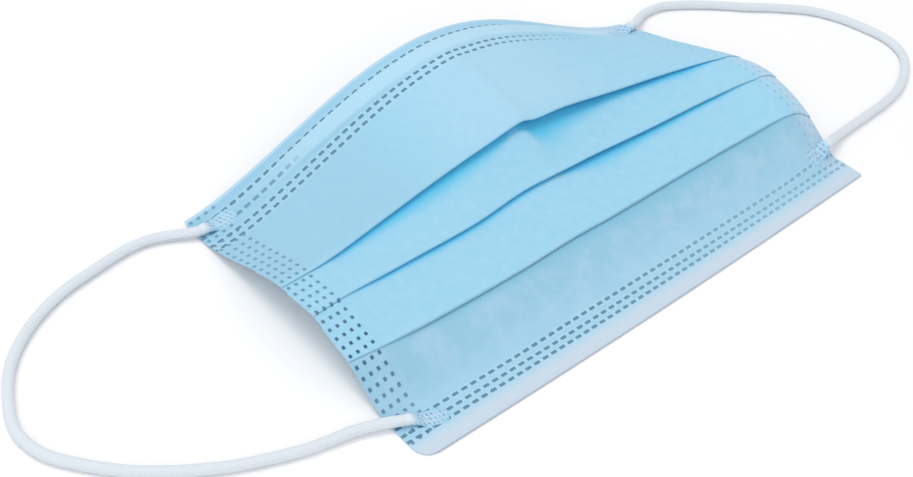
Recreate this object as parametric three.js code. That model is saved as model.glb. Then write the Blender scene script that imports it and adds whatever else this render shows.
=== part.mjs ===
// A pleated three-ply face mask with two ear loops, lying with its outer face up.
// Millimetres, +Z up. X runs along the mask and Y from its lower hem to its nose edge.
// The origin is on the surface that it lies on, below the middle of the cloth.
import * as THREE from "three";

// Overall form as it lies: the nose edge arches up, the lower hem and the corners lie flat.
const maskLength = 174;
const spreadWidth = 97;
const noseRise = 23.6;
const noseArchPower = 1.62;
const noseLeftSetback = 3.7;
const noseRightSetback = 6.6;
const hemBow = 0.8;
const leftLean = 3.5;
const rightLean = 6.5;
const leftCornerRadius = 4.5;
const rightCornerRadius = 0.8;

// Cloth and pleats.
const wall = 1.0;
const pressedGap = 0.35;
const pleatDepth = 10;
const foldOneRise = 20;
const foldTwoRise = 14.6;
const foldThreeRise = 11.6;
const openingDepth = 5;
const upperCrown = 2.4;
const panelSag = 0.8;
const lowerSag = 3.5;

// White inner ply past the blue, at the lower hem and as a thin rim at the nose edge.
const seat = 0.3;
const hemThickness = 0.8;
const hemMargin = 4.8;
const hemLap = 4;
const rimMargin = 1;
const rimLap = 2.8;

// Nose wire, in its raised channel.
const channelOffset = 2.9;
const channelWidth = 5;
const channelHeight = 0.7;
const channelFlank = 1.2;
const channelFade = 14;
const wireLength = 104;
const wireWidth = 3.6;
const wireThickness = 0.8;

// Ear loops and their flattened ends.
const cordDiameter = 2.7;
const tabLength = 9;
const tabWidth = 4.2;
const tabThickness = 0.9;

// Where the three folds run. `at` is the share of the length from the left edge. The y columns
// are shares of the spread width and the z columns shares of each fold's own rise.
const foldTable = [
  { at: 0.0, y1: 0.567, z1: 0.53, y2: 0.449, z2: 0.77, y3: 0.289, z3: 0.65 },
  { at: 0.08, y1: 0.562, z1: 0.5, y2: 0.443, z2: 0.7, y3: 0.281, z3: 0.61 },
  { at: 0.2, y1: 0.584, z1: 0.58, y2: 0.45, z2: 0.65, y3: 0.278, z3: 0.56 },
  { at: 0.33, y1: 0.6, z1: 0.73, y2: 0.453, z2: 0.65, y3: 0.278, z3: 0.54 },
  { at: 0.44, y1: 0.603, z1: 0.89, y2: 0.468, z2: 0.68, y3: 0.283, z3: 0.54 },
  { at: 0.5, y1: 0.6, z1: 1.0, y2: 0.461, z2: 0.74, y3: 0.28, z3: 0.56 },
  { at: 0.53, y1: 0.596, z1: 0.95, y2: 0.459, z2: 0.74, y3: 0.279, z3: 0.56 },
  { at: 0.6, y1: 0.596, z1: 0.9, y2: 0.456, z2: 0.74, y3: 0.278, z3: 0.58 },
  { at: 0.72, y1: 0.585, z1: 0.78, y2: 0.44, z2: 0.78, y3: 0.273, z3: 0.67 },
  { at: 0.86, y1: 0.544, z1: 0.75, y2: 0.409, z2: 0.95, y3: 0.254, z3: 0.9 },
  { at: 0.94, y1: 0.506, z1: 0.78, y2: 0.377, z2: 1.09, y3: 0.229, z3: 1.1 },
  { at: 1.0, y1: 0.503, z1: 0.675, y2: 0.378, z2: 1.02, y3: 0.228, z3: 0.73 },
];

// How the cloth stands between the folds. Crown says how far the upper panel bulges up or
// hangs, sag how far the lowest panel sinks, and the open columns how far each pleat stands
// open, as shares of the upper crown, the lower sag and the opening depth.
const slackTable = [
  { at: 0.0, crown: -0.9, sag: 1.0, open1: 0, open2: 0, open3: 0 },
  { at: 0.08, crown: -0.75, sag: 0.9, open1: 0.04, open2: 0.03, open3: 0.02 },
  { at: 0.2, crown: -0.2, sag: 0.55, open1: 0.2, open2: 0.1, open3: 0.06 },
  { at: 0.33, crown: 0.2, sag: 0.3, open1: 0.5, open2: 0.2, open3: 0.12 },
  { at: 0.44, crown: 0.4, sag: 0.24, open1: 0.8, open2: 0.35, open3: 0.16 },
  { at: 0.53, crown: 0.45, sag: 0.24, open1: 1.05, open2: 0.5, open3: 0.18 },
  { at: 0.6, crown: 0.4, sag: 0.25, open1: 0.95, open2: 0.5, open3: 0.17 },
  { at: 0.72, crown: 0.15, sag: 0.35, open1: 0.55, open2: 0.4, open3: 0.14 },
  { at: 0.86, crown: -0.2, sag: 0.7, open1: 0.2, open2: 0.2, open3: 0.08 },
  { at: 0.94, crown: -0.3, sag: 0.95, open1: 0.04, open2: 0.04, open3: 0.03 },
  { at: 1.0, crown: -0.4, sag: 1.0, open1: 0, open2: 0, open3: 0 },
];

// The flattened loop ends. Each starts an inset in from its side edge and a drop in from the
// nose edge, or a rise in from the hem, and points along its heading over one of the panels.
const tabTable = [
  { name: "loop_tab_left_upper", onLeft: true, inset: 0.7, drop: 5.7, heading: 2, panel: 0 },
  { name: "loop_tab_left_lower", onLeft: true, inset: 3.0, rise: 10.6, heading: -20, panel: 3 },
  { name: "loop_tab_right_upper", onLeft: false, inset: 2.6, drop: 5.7, heading: 184, panel: 0 },
  { name: "loop_tab_right_lower", onLeft: false, inset: 1.2, rise: 12.3, heading: 184, panel: 3 },
];

// The cord's section along a flattened end, from where the cord comes in to its welded tip.
// Width and thickness go from the cord's to the tab's.
const tabSections = [
  { along: 0, flatness: 0 },
  { along: 0.12, flatness: 0.15 },
  { along: 0.35, flatness: 0.85 },
  { along: 0.5, flatness: 1 },
  { along: 1, flatness: 1 },
];

// Ear loop routes, from the upper tab round to the lower tab.
const loopRoutes = {
  ear_loop_left: [
    [-83.5, 39.1, 3.95],
    [-85.6, 39.5, 3.8],
    [-88.6, 41.2, 2.9],
    [-92.6, 43.3, 1.75],
    [-97.0, 44.3, 1.42],
    [-103.1, 44.2, 1.42],
    [-110.4, 43.1, 1.42],
    [-122.4, 40.7, 1.42],
    [-133.6, 35.9, 1.42],
    [-143.1, 28.8, 1.42],
    [-149.3, 20.4, 1.42],
    [-152.9, 12.0, 1.42],
    [-152.6, 4.6, 1.42],
    [-149.6, -1.4, 1.42],
    [-141.6, -10.7, 1.42],
    [-134.9, -16.2, 1.42],
    [-127.7, -20.9, 1.42],
    [-119.9, -25.0, 1.42],
    [-107.3, -29.7, 1.42],
    [-100.7, -31.2, 1.42],
    [-94.0, -32.7, 1.9],
    [-89.6, -34.4, 3.1],
    [-86.4, -36.0, 3.85],
    [-83.9, -37.0, 3.8],
  ],
  ear_loop_right: [
    [79.1, 36.6, 5.4],
    [81.4, 37.0, 5.0],
    [84.4, 38.2, 3.7],
    [88.4, 40.2, 2.0],
    [92.7, 41.4, 1.42],
    [99.4, 41.1, 1.42],
    [105.8, 38.5, 1.42],
    [115.6, 32.5, 1.42],
    [124.5, 25.7, 1.42],
    [133.9, 19.2, 1.42],
    [142.5, 12.0, 1.42],
    [147.6, 4.2, 1.42],
    [150.7, -4.9, 1.42],
    [151.7, -12.8, 1.42],
    [149.4, -19.6, 1.42],
    [143.8, -24.8, 1.42],
    [132.7, -29.9, 1.42],
    [121.5, -31.9, 1.42],
    [112.0, -32.4, 1.42],
    [103.3, -32.8, 1.42],
    [95.4, -33.4, 1.8],
    [90.2, -34.4, 2.9],
    [87.3, -35.1, 3.6],
    [85.3, -35.4, 3.8],
  ],
};

// How finely the curved forms are cut into flat faces.
const stationCount = 36;
const upperPanelStops = 5;
const lowerPanelStops = 4;
const tuckStops = 2;
const turnSteps = 4;
const hemStops = [1, 0.55, 0.2, 0];
const tabSides = 8;
const cordSides = 8;
const cordSteps = 60;

const layer = wall + pressedGap;
const turnRadius = layer / 2;
const clothBase = hemThickness + seat + wall / 2;
const hemCornerY = -spreadWidth / 2 + hemBow;

const { clamp, degToRad, lerp, smoothstep } = THREE.MathUtils;
const bulge = (t) => 4 * t * (1 - t);

// A cubic from one value to another with a slope at each end.
function hermite(from, to, slopeFrom, slopeTo, t) {
  const t2 = t * t;
  const t3 = t2 * t;
  const start = from * (2 * t3 - 3 * t2 + 1) + slopeFrom * (t3 - 2 * t2 + t);
  return start + to * (3 * t2 - 2 * t3) + slopeTo * (t3 - t2);
}

// The value of a table's column at a share of the length, on a smooth curve.
function readTable(table, column, at) {
  const last = table.length - 1;
  let row = 0;
  while (row < last - 1 && at > table[row + 1].at) {
    row += 1;
  }
  const slopeAt = (k) => {
    const before = table[Math.max(k - 1, 0)];
    const after = table[Math.min(k + 1, last)];
    return (after[column] - before[column]) / (after.at - before.at);
  };
  const start = table[row];
  const end = table[row + 1];
  const span = end.at - start.at;
  const slopes = [slopeAt(row) * span, slopeAt(row + 1) * span];
  return hermite(start[column], end[column], ...slopes, (at - start.at) / span);
}

// The outer edges in plan, and the height of the nose edge.
const hemEdgeY = (at) => hemCornerY - hemBow * bulge(at);
const noseEdgeY = (at) =>
  spreadWidth / 2 - lerp(noseLeftSetback, noseRightSetback, at) * (1 - bulge(at));
const noseEdgeZ = (at) =>
  clothBase + noseRise * Math.max(Math.sin(Math.PI * at), 0) ** noseArchPower;
const panelTopY = (at) => noseEdgeY(at) - rimMargin;

// How far a rounded corner sets a side edge in, at a distance in from the hem.
function cornerSetback(radius, fromHem) {
  const short = radius - clamp(fromHem, 0, radius);
  return radius - Math.sqrt(radius * radius - short * short);
}

// The side edges in plan lean in towards the nose edge, and round off at the hem.
const edgeX = (side, lean, radius, y) => {
  const fromHem = y - hemCornerY;
  const setback = (lean * fromHem) / spreadWidth + cornerSetback(radius, fromHem);
  return side * (maskLength / 2 - setback);
};
const leftEdgeX = (y) => edgeX(-1, leftLean, leftCornerRadius, y);
const rightEdgeX = (y) => edgeX(1, rightLean, rightCornerRadius, y);
const xAt = (at, y) => lerp(leftEdgeX(y), rightEdgeX(y), at);
const shareAt = (x, y) => clamp((x - leftEdgeX(y)) / (rightEdgeX(y) - leftEdgeX(y)), 0, 1);

// The three folds at a share of the length, as points on the middle of the wall.
function foldsAt(at) {
  return [foldOneRise, foldTwoRise, foldThreeRise].map((rise, index) => ({
    y: hemCornerY + spreadWidth * readTable(foldTable, "y" + (index + 1), at),
    z: rise * readTable(foldTable, "z" + (index + 1), at),
    open: openingDepth * Math.max(readTable(slackTable, "open" + (index + 1), at), 0),
  }));
}

// The upper panel between the nose edge and the first fold, with the wire's channel in it.
function upperPanelZ(at, fold, y) {
  const top = panelTopY(at);
  const t = (top - y) / (top - fold.y);
  const crown = upperCrown * readTable(slackTable, "crown", at) * bulge(clamp(t, 0, 1));
  const fromMiddle = Math.abs(at - 0.5) * maskLength - wireLength / 2;
  const ridge = channelHeight * (1 - smoothstep(fromMiddle, 0, channelFade));
  const inChannel = top - y - channelOffset;
  const rise = smoothstep(inChannel, -channelFlank / 2, channelFlank / 2);
  const fall = smoothstep(inChannel - channelWidth, -channelFlank / 2, channelFlank / 2);
  return lerp(noseEdgeZ(at), fold.z, t) + crown + ridge * (rise - fall);
}

// A panel that comes out from behind a fold. Behind it the cloth keeps two layers and the
// opening below the panel above, and then it runs on to the next fold or to the lower edge.
function panelBelow(above, fold, next, sag) {
  const drop = 2 * layer + fold.open;
  return (y) => {
    if (y >= fold.y) {
      return above(y) - drop;
    }
    const t = clamp((fold.y - y) / (fold.y - next.y), 0, 1);
    const straight = lerp(above(fold.y) - drop, next.z, smoothstep(t, 0, 1));
    return Math.max(straight - sag * bulge(t), clothBase);
  };
}

// The four panels at a share of the length, each with its height as a function of y.
function panelsAt(at) {
  const folds = foldsAt(at);
  const lowerEdge = { y: hemEdgeY(at) + hemMargin, z: clothBase };
  const ends = [...folds, lowerEdge];
  const heights = [(y) => upperPanelZ(at, folds[0], y)];
  const lowestSag = lowerSag * readTable(slackTable, "sag", at);
  folds.forEach((fold, index) => {
    const sag = index === folds.length - 1 ? lowestSag : panelSag;
    heights.push(panelBelow(heights[index], fold, ends[index + 1], sag));
  });
  return { ends, heights };
}

// Evenly spaced values after `from`, up to and with `to`.
const stepsTo = (from, to, count) =>
  Array.from({ length: count }, (_, k) => lerp(from, to, (k + 1) / count));

// Half a turn of the wall: side -1 bends round a fold, side 1 round the hidden end of a tuck.
function turnPoints(y, z, side) {
  return stepsTo(0, Math.PI, turnSteps).map((angle) => [
    y + side * turnRadius * Math.sin(angle),
    z - turnRadius + turnRadius * Math.cos(angle),
  ]);
}

// One section: the middle of the wall as a line from the nose edge to the lower edge.
function wallLine(at) {
  const { ends, heights } = panelsAt(at);
  const top = panelTopY(at);
  const flanks = [channelOffset, channelOffset + channelWidth].flatMap((offset) => [
    offset - channelFlank / 2,
    offset + channelFlank / 2,
  ]);
  const line = [0, ...flanks].map((offset) => [top - offset, heights[0](top - offset)]);
  ends.forEach((end, index) => {
    const isFold = index < ends.length - 1;
    const stop = isFold ? end.y + turnRadius : end.y;
    const height = heights[index];
    if (index > 0) {
      const fold = ends[index - 1];
      line.push([fold.y + pleatDepth / 2, height(fold.y + pleatDepth / 2)]);
      line.push([fold.y, height(fold.y)]);
    }
    const from = line.at(-1)[0];
    const count = index === 0 ? upperPanelStops : lowerPanelStops;
    line.push(...stepsTo(from, stop, count).map((y) => [y, height(y)]));
    if (isFold) {
      const tuck = (y) => height(y) - layer - (end.open * (y - end.y)) / pleatDepth;
      const hidden = end.y + pleatDepth - turnRadius;
      line.push(...turnPoints(stop, height(stop), -1));
      line.push(...stepsTo(stop, hidden, tuckStops).map((y) => [y, tuck(y)]));
      line.push(...turnPoints(hidden, tuck(hidden), 1));
    }
  });
  return line;
}

// The outline of a wall of one thickness along a line: its outer side, then its inner side.
function thicken(line, thickness) {
  const sides = [1, -1].map((side) =>
    line.map(([y, z], k) => {
      const [beforeY, beforeZ] = line[Math.max(k - 1, 0)];
      const [afterY, afterZ] = line[Math.min(k + 1, line.length - 1)];
      const length = Math.hypot(afterY - beforeY, afterZ - beforeZ);
      const reach = (side * thickness) / 2 / length;
      return [y + reach * (afterZ - beforeZ), z - reach * (afterY - beforeY)];
    }),
  );
  return [...sides[0], ...sides[1].reverse()];
}

// A closed body through sections that each hold the same number of points.
function loft(sections, name, colour, roughness) {
  const count = sections[0].length;
  const last = (sections.length - 1) * count;
  const index = [];
  for (let s = 0; s < sections.length - 1; s += 1) {
    for (let k = 0; k < count; k += 1) {
      const a = s * count + k;
      const b = s * count + ((k + 1) % count);
      index.push(a, b, b + count, a, b + count, a + count);
    }
  }
  const cap = THREE.ShapeUtils.triangulateShape(flatten(sections[0]), []);
  cap.forEach(([a, b, c]) => index.push(a, c, b));
  const endCap = THREE.ShapeUtils.triangulateShape(flatten(sections.at(-1)), []);
  endCap.forEach(([a, b, c]) => index.push(last + a, last + b, last + c));
  const geometry = new THREE.BufferGeometry().setFromPoints(sections.flat());
  geometry.setIndex(index);
  geometry.computeVertexNormals();
  return finished(geometry, name, colour, roughness);
}

// A section's points in its own plane, anticlockwise as seen from the end of the loft.
function flatten(section) {
  const reach = section.map((p) => Math.hypot(p.x - section[0].x, p.y - section[0].y));
  const far = section[reach.indexOf(Math.max(...reach))];
  const across = new THREE.Vector3().subVectors(far, section[0]).setZ(0).normalize();
  const flat = section.map((p) => new THREE.Vector2(across.dot(p), p.z));
  if (THREE.ShapeUtils.isClockWise(flat)) {
    flat.forEach((p) => p.setX(-p.x));
  }
  return flat;
}

function finished(geometry, name, colour, roughness) {
  const material = new THREE.MeshStandardMaterial({ color: colour, roughness, metalness: 0 });
  const mesh = new THREE.Mesh(geometry, material);
  mesh.name = name;
  return mesh;
}

const blueCloth = 0x9fd2ee;
const whiteCloth = 0xdde3ec;
const whiteElastic = 0xe4e7ec;
const whitePlastic = 0xf0f0ee;
const clothRoughness = 0.9;
const plasticRoughness = 0.5;

// Sections along the mask, each a list of y and z, put in place across it.
function alongMask(sectionAt, from, to, count) {
  return [from, ...stepsTo(from, to, count)].map((at) =>
    sectionAt(at).map(([y, z]) => new THREE.Vector3(xAt(at, y), y, z)),
  );
}

function pleatedPanel() {
  const sections = alongMask((at) => thicken(wallLine(at), wall), 0, 1, stationCount);
  return loft(sections, "pleated_panel", blueCloth, clothRoughness);
}

// The white ply past the blue: it lies flat, with its lap under the lower panel's edge.
function lowerHem() {
  const section = (at) => {
    const edge = hemEdgeY(at);
    const stops = [hemMargin + hemLap, ...hemStops.map((share) => share * leftCornerRadius)];
    const upper = stops.map((inward) => [edge + inward, hemThickness]);
    const lower = stops.map((inward) => [edge + inward, 0]);
    return [...upper, ...lower.reverse()];
  };
  return loft(alongMask(section, 0, 1, stationCount / 2), "lower_hem", whiteCloth, clothRoughness);
}

// A strip under the upper panel, with its top one seat below the cloth.
function stripUnderPanel(at, stops, thickness) {
  const [height] = panelsAt(at).heights;
  const topZ = (y) => height(Math.min(y, panelTopY(at))) - wall / 2 - seat;
  const upper = stops.map((y) => [y, topZ(y)]);
  const lower = stops.map((y) => [y, topZ(y) - thickness]);
  return [...upper, ...lower.reverse()];
}

function upperHem() {
  const section = (at) => {
    const top = panelTopY(at);
    return stripUnderPanel(at, [noseEdgeY(at), top, top - rimLap], hemThickness);
  };
  return loft(alongMask(section, 0, 1, stationCount), "upper_hem", whiteCloth, clothRoughness);
}

function noseWire() {
  const half = wireLength / maskLength / 2;
  const section = (at) => {
    const middle = panelTopY(at) - channelOffset - channelWidth / 2;
    const stops = [middle + wireWidth / 2, middle - wireWidth / 2];
    return stripUnderPanel(at, stops, wireThickness);
  };
  const sections = alongMask(section, 0.5 - half, 0.5 + half, Math.round(stationCount / 2));
  return loft(sections, "nose_wire", whitePlastic, plasticRoughness);
}

// A cord end that flattens into a patch, on the outer face near a corner.
function loopTab({ name, onLeft, inset, drop, rise, heading, panel }) {
  const end = onLeft ? 0 : 1;
  const y = rise === undefined ? noseEdgeY(end) - drop : hemEdgeY(end) + rise;
  const x = onLeft ? leftEdgeX(y) + inset : rightEdgeX(y) - inset;
  const angle = degToRad(heading);
  const along = new THREE.Vector2(Math.cos(angle), Math.sin(angle));
  const across = new THREE.Vector2(-along.y, along.x);
  const sections = tabSections.map((row) => {
    const centre = new THREE.Vector2(x, y).addScaledVector(along, row.along * tabLength);
    const halfWidth = lerp(cordDiameter, tabWidth, row.flatness) / 2;
    const halfHeight = lerp(cordDiameter, tabThickness, row.flatness) / 2;
    const surface = [-1, 0, 1].map((side) => {
      const spot = centre.clone().addScaledVector(across, side * halfWidth);
      return panelsAt(shareAt(spot.x, spot.y)).heights[panel](spot.y);
    });
    const middle = Math.max(...surface) + wall / 2 + seat + halfHeight;
    return Array.from({ length: tabSides }, (_, k) => {
      const turn = (2 * Math.PI * (k + 0.5)) / tabSides;
      const spot = centre.clone().addScaledVector(across, halfWidth * Math.cos(turn));
      return new THREE.Vector3(spot.x, spot.y, middle + halfHeight * Math.sin(turn));
    });
  });
  return loft(sections, name, whiteElastic, clothRoughness);
}

function earLoop(name, route) {
  const path = new THREE.CatmullRomCurve3(route.map((point) => new THREE.Vector3(...point)));
  const section = new THREE.Shape(
    Array.from({ length: cordSides }, (_, k) => {
      const angle = (2 * Math.PI * k) / cordSides;
      return new THREE.Vector2(Math.cos(angle), Math.sin(angle)).multiplyScalar(cordDiameter / 2);
    }),
  );
  const options = { steps: cordSteps, bevelEnabled: false, extrudePath: path };
  const geometry = new THREE.ExtrudeGeometry(section, options);
  return finished(geometry, name, whiteElastic, clothRoughness);
}

const mask = new THREE.Group();
mask.add(pleatedPanel(), lowerHem(), upperHem(), noseWire());
tabTable.forEach((row) => mask.add(loopTab(row)));
Object.entries(loopRoutes).forEach(([name, route]) => mask.add(earLoop(name, route)));

export default mask;
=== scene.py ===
"""Looks of a pleated three-ply ear-loop face mask that lies with its blue outer face up.

Sizes in the classes are millimetres, and a mesh is turned to metres when it is made.
X runs along the mask, Y from its lower hem to its nose edge, and Z is up. A place along the
mask is given as a share of its length, called `at`, and the cloth is followed from the nose
edge down over the folds and through the tucks behind them to the lower hem.
"""

from __future__ import annotations

import logging
import math
from collections.abc import Callable, Sequence
from dataclasses import dataclass, field
from enum import IntEnum
from functools import partial, reduce

import bpy
import numpy as np
from bpy.types import Material, Mesh, NodeSocket, Object
from mathutils import Matrix, Vector


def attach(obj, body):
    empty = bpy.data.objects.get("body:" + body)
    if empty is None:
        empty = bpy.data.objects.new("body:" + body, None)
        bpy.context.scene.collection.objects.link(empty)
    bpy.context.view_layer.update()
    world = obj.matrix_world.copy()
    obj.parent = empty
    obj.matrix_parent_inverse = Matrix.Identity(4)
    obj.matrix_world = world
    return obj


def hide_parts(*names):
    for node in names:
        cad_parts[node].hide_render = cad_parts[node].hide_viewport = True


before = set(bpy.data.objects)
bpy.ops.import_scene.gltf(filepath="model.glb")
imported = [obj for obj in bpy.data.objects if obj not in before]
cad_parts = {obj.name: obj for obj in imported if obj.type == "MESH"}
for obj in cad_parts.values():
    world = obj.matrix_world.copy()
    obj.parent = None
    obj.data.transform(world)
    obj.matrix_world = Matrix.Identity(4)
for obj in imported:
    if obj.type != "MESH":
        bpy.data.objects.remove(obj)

LOG = logging.getLogger("mask")
MM = 0.001
SHARP_DEGREES = 50.0
BODY = "root"

Array = np.ndarray
Rgb = tuple[int, int, int]
Triple = tuple[float, float, float]


# Small maths


def lerp(start: Array | float, end: Array | float, share: Array | float) -> Array | float:
    """Returns the value at a share of the way from start to end."""
    return start + (end - start) * share


def smoothstep(low: float, high: float, value: Array) -> Array:
    """Rises from 0 at low to 1 at high along 3t² − 2t³, with t the clamped share between them."""
    share = np.clip((value - low) / (high - low), 0.0, 1.0)
    return share * share * (3.0 - 2.0 * share)


def bulge(share: Array) -> Array:
    """Returns the parabola 4t(1 − t), which is 0 at both ends and 1 in the middle."""
    return 4.0 * share * (1.0 - share)


def unit(vectors: Array) -> Array:
    """Scales vectors, held along the last axis, to length 1."""
    length = np.linalg.norm(vectors, axis=-1, keepdims=True)
    return vectors / np.maximum(length, 1e-9)


def smooth_curve(knots: Array, values: Array, places: Array) -> Array:
    """Reads a smooth curve through values at knots.

    Between two knots the curve is a cubic Hermite piece, whose slope at a knot is the rise
    between the knots before and after it over their distance.

    Args:
        knots: Rising places of the values.
        values: The values, one row for each knot.
        places: Where the curve is read.

    Returns:
        The curve's values at the places.
    """
    last = len(knots) - 1
    before = np.maximum(np.arange(last + 1) - 1, 0)
    after = np.minimum(np.arange(last + 1) + 1, last)
    table = values.reshape(last + 1, -1)
    slopes = (table[after] - table[before]) / (knots[after] - knots[before])[:, None]
    spots = np.ravel(places)
    row = np.clip(np.searchsorted(knots, spots, side="right") - 1, 0, last - 1)
    span = (knots[row + 1] - knots[row])[:, None]
    t = (spots - knots[row])[:, None] / span
    start = table[row] * (2 * t**3 - 3 * t**2 + 1) + slopes[row] * span * (t**3 - 2 * t**2 + t)
    end = table[row + 1] * (3 * t**2 - 2 * t**3) + slopes[row + 1] * span * (t**3 - t**2)
    return (start + end).reshape(np.shape(places) + values.shape[1:])


def walked(points: Array, axis: int = 0) -> Array:
    """Returns how far each point lies along its line, from 0 at the line's start."""
    steps = np.linalg.norm(np.diff(points, axis=axis), axis=-1)
    return np.insert(np.cumsum(steps, axis=axis), 0, 0.0, axis=axis)


# Meshes


@dataclass
class Shell:
    """A closed mesh in the making: points in millimetres, and faces as rows of point numbers."""

    points: list[Array] = field(default_factory=list)
    faces: list[Array] = field(default_factory=list)
    values: dict[str, list[Array]] = field(default_factory=dict)
    count: int = 0

    def add_points(self, points: Array, **values: Array) -> Array:
        """Adds a grid of points.

        Args:
            points: Places, as an array with x, y, z along its last axis.
            **values: Vectors for the points, kept as named attributes.

        Returns:
            The numbers of the new points, in the grid's own shape.
        """
        flat = points.reshape(-1, 3)
        numbers = np.arange(self.count, self.count + len(flat)).reshape(points.shape[:-1])
        self.points.append(flat)
        self.count += len(flat)
        for name, value in values.items():
            self.values.setdefault(name, []).append(value.reshape(-1, 3))
        return numbers

    def add_grid(self, numbers: Array) -> None:
        """Fills a grid of point numbers with quads."""
        corners = (numbers[:-1, :-1], numbers[1:, :-1], numbers[1:, 1:], numbers[:-1, 1:])
        self.faces.append(np.stack(corners, axis=-1).reshape(-1, 4))

    def add_fan(self, ring: Array, pole: int) -> None:
        """Closes a ring of point numbers with triangles to one pole."""
        turned = np.roll(ring, -1)
        self.faces.append(np.stack((ring, turned, np.full_like(ring, pole)), axis=-1))

    def add_stitch(self, fine: Array, coarse: Array) -> None:
        """Joins a closed loop to one with half its points, three triangles for each coarse edge."""
        start, middle, end = fine[0::2], fine[1::2], np.roll(fine[0::2], -1)
        following = np.roll(coarse, -1)
        trios = ((start, middle, coarse), (middle, following, coarse), (middle, end, following))
        self.faces.extend(np.stack(trio, axis=-1) for trio in trios)

    def add_tube(self, rings: Array, **values: Array) -> None:
        """Adds a closed tube from its rings, one for each row, with poles in the end rings."""
        tube = self.add_points(rings, **values)
        ends = {key: value[[0, -1], 0] for key, value in values.items()}
        poles = self.add_points(rings[[0, -1]].mean(axis=1), **ends)
        self.add_grid(np.concatenate((tube, tube[:, :1]), axis=1))
        self.add_fan(tube[0, ::-1], int(poles[0]))
        self.add_fan(tube[-1], int(poles[1]))

    def add_sheet(self, front: Array, back: Array, places: dict[str, Array]) -> None:
        """Adds a closed sheet, whose back keeps every second point of its front's grid."""
        every_second = {key: value[::2, ::2] for key, value in places.items()}
        fine = self.add_points(front, **places)
        coarse = self.add_points(back[::2, ::2], **every_second)
        self.add_grid(fine)
        self.add_grid(coarse[:, ::-1])
        self.add_stitch(border(fine), border(coarse))

    def build(self, name: str, finish: Material) -> Object:
        """Makes the Blender object, in metres, with its faces pointing out and shaded smooth."""
        mesh = bpy.data.meshes.new(name)
        faces = [face for block in self.faces for face in block.tolist()]
        mesh.from_pydata((np.concatenate(self.points) * MM).tolist(), [], faces)
        for key, blocks in self.values.items():
            layer = mesh.attributes.new(key, "FLOAT_VECTOR", "POINT")
            layer.data.foreach_set("vector", np.concatenate(blocks).astype(np.float32).ravel())
        outward(mesh)
        mesh.polygons.foreach_set("use_smooth", np.ones(len(mesh.polygons), dtype=bool))
        mesh.set_sharp_from_angle(angle=math.radians(SHARP_DEGREES))
        mesh.update()
        mesh.materials.append(finish)
        piece = bpy.data.objects.new(name, mesh)
        bpy.context.scene.collection.objects.link(piece)
        return piece


def outward(mesh: Mesh) -> None:
    """Turns a closed mesh the right way out, by the sign of its volume.

    The volume is the sum, over the triangles, of a · (b × c) / 6.
    """
    mesh.calc_loop_triangles()
    corners = np.empty(len(mesh.loop_triangles) * 3, dtype=np.int32)
    mesh.loop_triangles.foreach_get("vertices", corners)
    places = np.empty(len(mesh.vertices) * 3, dtype=np.float32)
    mesh.vertices.foreach_get("co", places)
    a, b, c = places.reshape(-1, 3)[corners].reshape(-1, 3, 3).transpose(1, 0, 2)
    if float(np.einsum("ij,ij->", a, np.cross(b, c))) < 0.0:
        mesh.flip_normals()


def circle(sides: int) -> Array:
    """Returns angles spread evenly round a full circle."""
    return np.linspace(0.0, 2.0 * math.pi, sides, endpoint=False)


def border(numbers: Array) -> Array:
    """Returns the numbers round the edge of a grid, each once, as a closed loop."""
    top, right = numbers[0, :-1], numbers[:-1, -1]
    bottom, left = numbers[-1, :0:-1], numbers[:0:-1, 0]
    return np.concatenate((top, right, bottom, left))


# Shader maths


def binary(operation: str, turned: bool = False) -> Callable[[Value, object], Value]:
    """Makes an operator that adds one Math node, with its two sides turned if asked."""

    def apply(self: Value, other: object) -> Value:
        """Adds the node on both sides of the operator."""
        first, second = (other, self) if turned else (self, other)
        return self.math(operation, first, second)

    return apply


class Value:
    """A number in a shader. Python operators on it add Math nodes.

    `%` keeps what is left past whole multiples and is never negative, `top` is the larger of
    two numbers and `low` the smaller.
    """

    def __init__(self, sheet: NodeSheet, socket: NodeSocket) -> None:
        """Wraps a socket of a node in the sheet."""
        self.sheet = sheet
        self.socket = socket

    def math(self, operation: str, first: object, second: object = 0.0) -> Value:
        """Adds one Math node on two numbers or sockets."""
        made = self.sheet.node("ShaderNodeMath", {"operation": operation}, {0: first, 1: second})
        return Value(self.sheet, made)

    __add__ = __radd__ = binary("ADD")
    __sub__ = binary("SUBTRACT")
    __rsub__ = binary("SUBTRACT", turned=True)
    __mul__ = __rmul__ = binary("MULTIPLY")
    __truediv__ = binary("DIVIDE")
    __mod__ = binary("FLOORED_MODULO")
    top = binary("MAXIMUM")
    low = binary("MINIMUM")

    def __abs__(self) -> Value:
        """Returns the size of self without its sign."""
        return self.math("ABSOLUTE", self)

    def off_middle(self, pitch: float) -> Value:
        """Returns the distance to the middle of the pitch that self is in."""
        return abs(self % pitch - pitch / 2)

    def ramp(self, start: float, end: float) -> Value:
        """Rises smoothly from 0 where self is start to 1 where it is end."""
        settings = {"interpolation_type": "SMOOTHSTEP"}
        inputs = {"Value": self, "From Min": start, "From Max": end}
        return Value(self.sheet, self.sheet.node("ShaderNodeMapRange", settings, inputs))


@dataclass(frozen=True)
class Fade:
    """A soft step in a shader: 0 where a number is `start`, `full` where it is `end`."""

    start: float
    end: float
    full: float = 1.0

    def of(self, number: Value) -> Value:
        """Returns the step's height at a number."""
        return number.ramp(self.start, self.end) * self.full


@dataclass(frozen=True)
class Grain:
    """The settings of a noise: about how many bumps to a unit, its octaves and its roughness."""

    scale: float
    detail: float = 2.0
    rough: float = 0.5


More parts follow.
